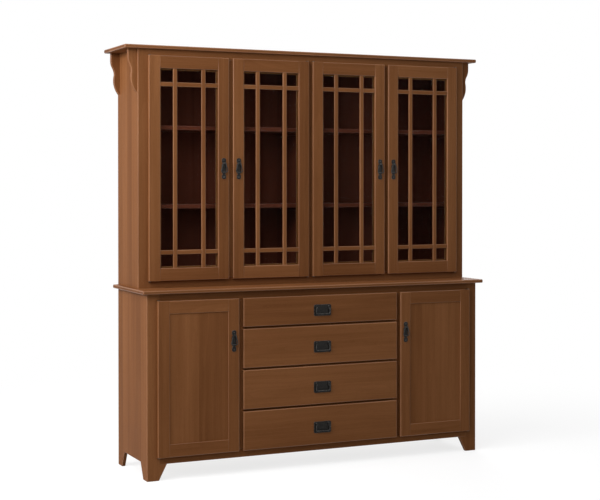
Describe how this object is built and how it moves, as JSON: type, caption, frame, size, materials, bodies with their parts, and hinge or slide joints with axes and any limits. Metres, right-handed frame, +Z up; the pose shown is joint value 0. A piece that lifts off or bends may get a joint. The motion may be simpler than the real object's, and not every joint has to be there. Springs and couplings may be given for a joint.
{
  "type": "dresser with hutch",
  "caption": "Stained wood dining hutch: glazed grille doors over a base with panelled cupboards, a central bank of drawers, bracket feet and S-shaped corbels.",
  "frame": {"origin": "on the floor, under the middle of the whole object's box", "axes": "+Z up, +X to the right seen from the front, +Y towards the back"},
  "size_m": [1.973, 0.487, 2.087],
  "materials": {
    "stained_wood": "satin lacquer over brown stain",
    "plain_wood": "thin brown stain, dull",
    "clear_glass": "clear flat glass",
    "black_iron": "black hammered iron",
    "dark_steel": "darkened steel"
  },
  "bodies": {
    "cabinet": {"base_top": "stained_wood", "base_left_side": "stained_wood", "base_right_side": "stained_wood", "base_floor": "plain_wood", "base_partitions": "plain_wood", "base_face_frame": "stained_wood", "hutch_top": "stained_wood", "hutch_left_side": "stained_wood", "hutch_right_side": "stained_wood", "hutch_floor": "stained_wood", "hutch_partition": "stained_wood", "hutch_face_frame": "stained_wood", "back_panels": "plain_wood", "hutch_shelves": "stained_wood", "cupboard_shelves": "stained_wood", "shelf_cleats": "plain_wood", "corbels": "stained_wood", "door_hinges": "dark_steel", "door_catches": "dark_steel", "drawer_runners": "plain_wood"},
    "drawer_1": {"drawer_1_front": "stained_wood", "drawer_1_box": "plain_wood", "drawer_1_pull_plate": "black_iron"},
    "drawer_1_bail": {"drawer_1_pull_bail": "black_iron"},
    "drawer_2": {"drawer_2_front": "stained_wood", "drawer_2_box": "plain_wood", "drawer_2_pull_plate": "black_iron"},
    "drawer_2_bail": {"drawer_2_pull_bail": "black_iron"},
    "drawer_3": {"drawer_3_front": "stained_wood", "drawer_3_box": "plain_wood", "drawer_3_pull_plate": "black_iron"},
    "drawer_3_bail": {"drawer_3_pull_bail": "black_iron"},
    "drawer_4": {"drawer_4_front": "stained_wood", "drawer_4_box": "plain_wood", "drawer_4_pull_plate": "black_iron"},
    "drawer_4_bail": {"drawer_4_pull_bail": "black_iron"},
    "hutch_door_1": {"hutch_door_1_frame": "stained_wood", "hutch_door_1_glass": "clear_glass", "hutch_door_1_pull_plate": "black_iron"},
    "hutch_door_1_bail": {"hutch_door_1_pull_bail": "black_iron"},
    "hutch_door_2": {"hutch_door_2_frame": "stained_wood", "hutch_door_2_glass": "clear_glass", "hutch_door_2_pull_plate": "black_iron"},
    "hutch_door_2_bail": {"hutch_door_2_pull_bail": "black_iron"},
    "hutch_door_3": {"hutch_door_3_frame": "stained_wood", "hutch_door_3_glass": "clear_glass", "hutch_door_3_pull_plate": "black_iron"},
    "hutch_door_3_bail": {"hutch_door_3_pull_bail": "black_iron"},
    "hutch_door_4": {"hutch_door_4_frame": "stained_wood", "hutch_door_4_glass": "clear_glass", "hutch_door_4_pull_plate": "black_iron"},
    "hutch_door_4_bail": {"hutch_door_4_pull_bail": "black_iron"},
    "left_cupboard_door": {"left_cupboard_door_frame": "stained_wood", "left_cupboard_door_panel": "stained_wood", "left_cupboard_door_pull_plate": "black_iron"},
    "left_cupboard_door_bail": {"left_cupboard_door_pull_bail": "black_iron"},
    "right_cupboard_door": {"right_cupboard_door_frame": "stained_wood", "right_cupboard_door_panel": "stained_wood", "right_cupboard_door_pull_plate": "black_iron"},
    "right_cupboard_door_bail": {"right_cupboard_door_pull_bail": "black_iron"}
  },
  "joints": [
    {"name": "drawer_1_slide", "type": "slide", "parent": "cabinet", "child": "drawer_1", "axis": [0, -1, 0], "range_m": [0, 0.3]},
    {"name": "drawer_1_bail_swing", "type": "hinge", "parent": "drawer_1", "child": "drawer_1_bail", "pos_m": [0, -0.241, 0.795], "axis": [-1, 0, 0], "range_deg": [0, 80]},
    {"name": "drawer_2_slide", "type": "slide", "parent": "cabinet", "child": "drawer_2", "axis": [0, -1, 0], "range_m": [0, 0.3]},
    {"name": "drawer_2_bail_swing", "type": "hinge", "parent": "drawer_2", "child": "drawer_2_bail", "pos_m": [0, -0.241, 0.612], "axis": [-1, 0, 0], "range_deg": [0, 80]},
    {"name": "drawer_3_slide", "type": "slide", "parent": "cabinet", "child": "drawer_3", "axis": [0, -1, 0], "range_m": [0, 0.3]},
    {"name": "drawer_3_bail_swing", "type": "hinge", "parent": "drawer_3", "child": "drawer_3_bail", "pos_m": [0, -0.241, 0.41], "axis": [-1, 0, 0], "range_deg": [0, 80]},
    {"name": "drawer_4_slide", "type": "slide", "parent": "cabinet", "child": "drawer_4", "axis": [0, -1, 0], "range_m": [0, 0.3]},
    {"name": "drawer_4_bail_swing", "type": "hinge", "parent": "drawer_4", "child": "drawer_4_bail", "pos_m": [0, -0.241, 0.208], "axis": [-1, 0, 0], "range_deg": [0, 80]},
    {"name": "hutch_door_1_swing", "type": "hinge", "parent": "cabinet", "child": "hutch_door_1", "pos_m": [-0.8595, -0.0935, 0.944], "axis": [0, 0, -1], "range_deg": [0, 110]},
    {"name": "hutch_door_1_bail_swing", "type": "hinge", "parent": "hutch_door_1", "child": "hutch_door_1_bail", "pos_m": [-0.47763, -0.109, 1.5185], "axis": [-1, 0, 0], "range_deg": [0, 80]},
    {"name": "hutch_door_2_swing", "type": "hinge", "parent": "cabinet", "child": "hutch_door_2", "pos_m": [-0.01625, -0.0935, 0.944], "axis": [0, 0, 1], "range_deg": [0, 80]},
    {"name": "hutch_door_2_bail_swing", "type": "hinge", "parent": "hutch_door_2", "child": "hutch_door_2_bail", "pos_m": [-0.39813, -0.109, 1.5185], "axis": [-1, 0, 0], "range_deg": [0, 80]},
    {"name": "hutch_door_3_swing", "type": "hinge", "parent": "cabinet", "child": "hutch_door_3", "pos_m": [0.01625, -0.0935, 0.944], "axis": [0, 0, -1], "range_deg": [0, 80]},
    {"name": "hutch_door_3_bail_swing", "type": "hinge", "parent": "hutch_door_3", "child": "hutch_door_3_bail", "pos_m": [0.39813, -0.109, 1.5185], "axis": [-1, 0, 0], "range_deg": [0, 80]},
    {"name": "hutch_door_4_swing", "type": "hinge", "parent": "cabinet", "child": "hutch_door_4", "pos_m": [0.8595, -0.0935, 0.944], "axis": [0, 0, 1], "range_deg": [0, 110]},
    {"name": "hutch_door_4_bail_swing", "type": "hinge", "parent": "hutch_door_4", "child": "hutch_door_4_bail", "pos_m": [0.47763, -0.109, 1.5185], "axis": [-1, 0, 0], "range_deg": [0, 80]},
    {"name": "left_cupboard_door_swing", "type": "hinge", "parent": "cabinet", "child": "left_cupboard_door", "pos_m": [-0.8595, -0.2255, 0.111], "axis": [0, 0, -1], "range_deg": [0, 110]},
    {"name": "left_cupboard_door_bail_swing", "type": "hinge", "parent": "left_cupboard_door", "child": "left_cupboard_door_bail", "pos_m": [-0.47763, -0.241, 0.679], "axis": [-1, 0, 0], "range_deg": [0, 80]},
    {"name": "right_cupboard_door_swing", "type": "hinge", "parent": "cabinet", "child": "right_cupboard_door", "pos_m": [0.8595, -0.2255, 0.111], "axis": [0, 0, 1], "range_deg": [0, 110]},
    {"name": "right_cupboard_door_bail_swing", "type": "hinge", "parent": "right_cupboard_door", "child": "right_cupboard_door_bail", "pos_m": [0.47763, -0.241, 0.679], "axis": [-1, 0, 0], "range_deg": [0, 80]}
  ]
}
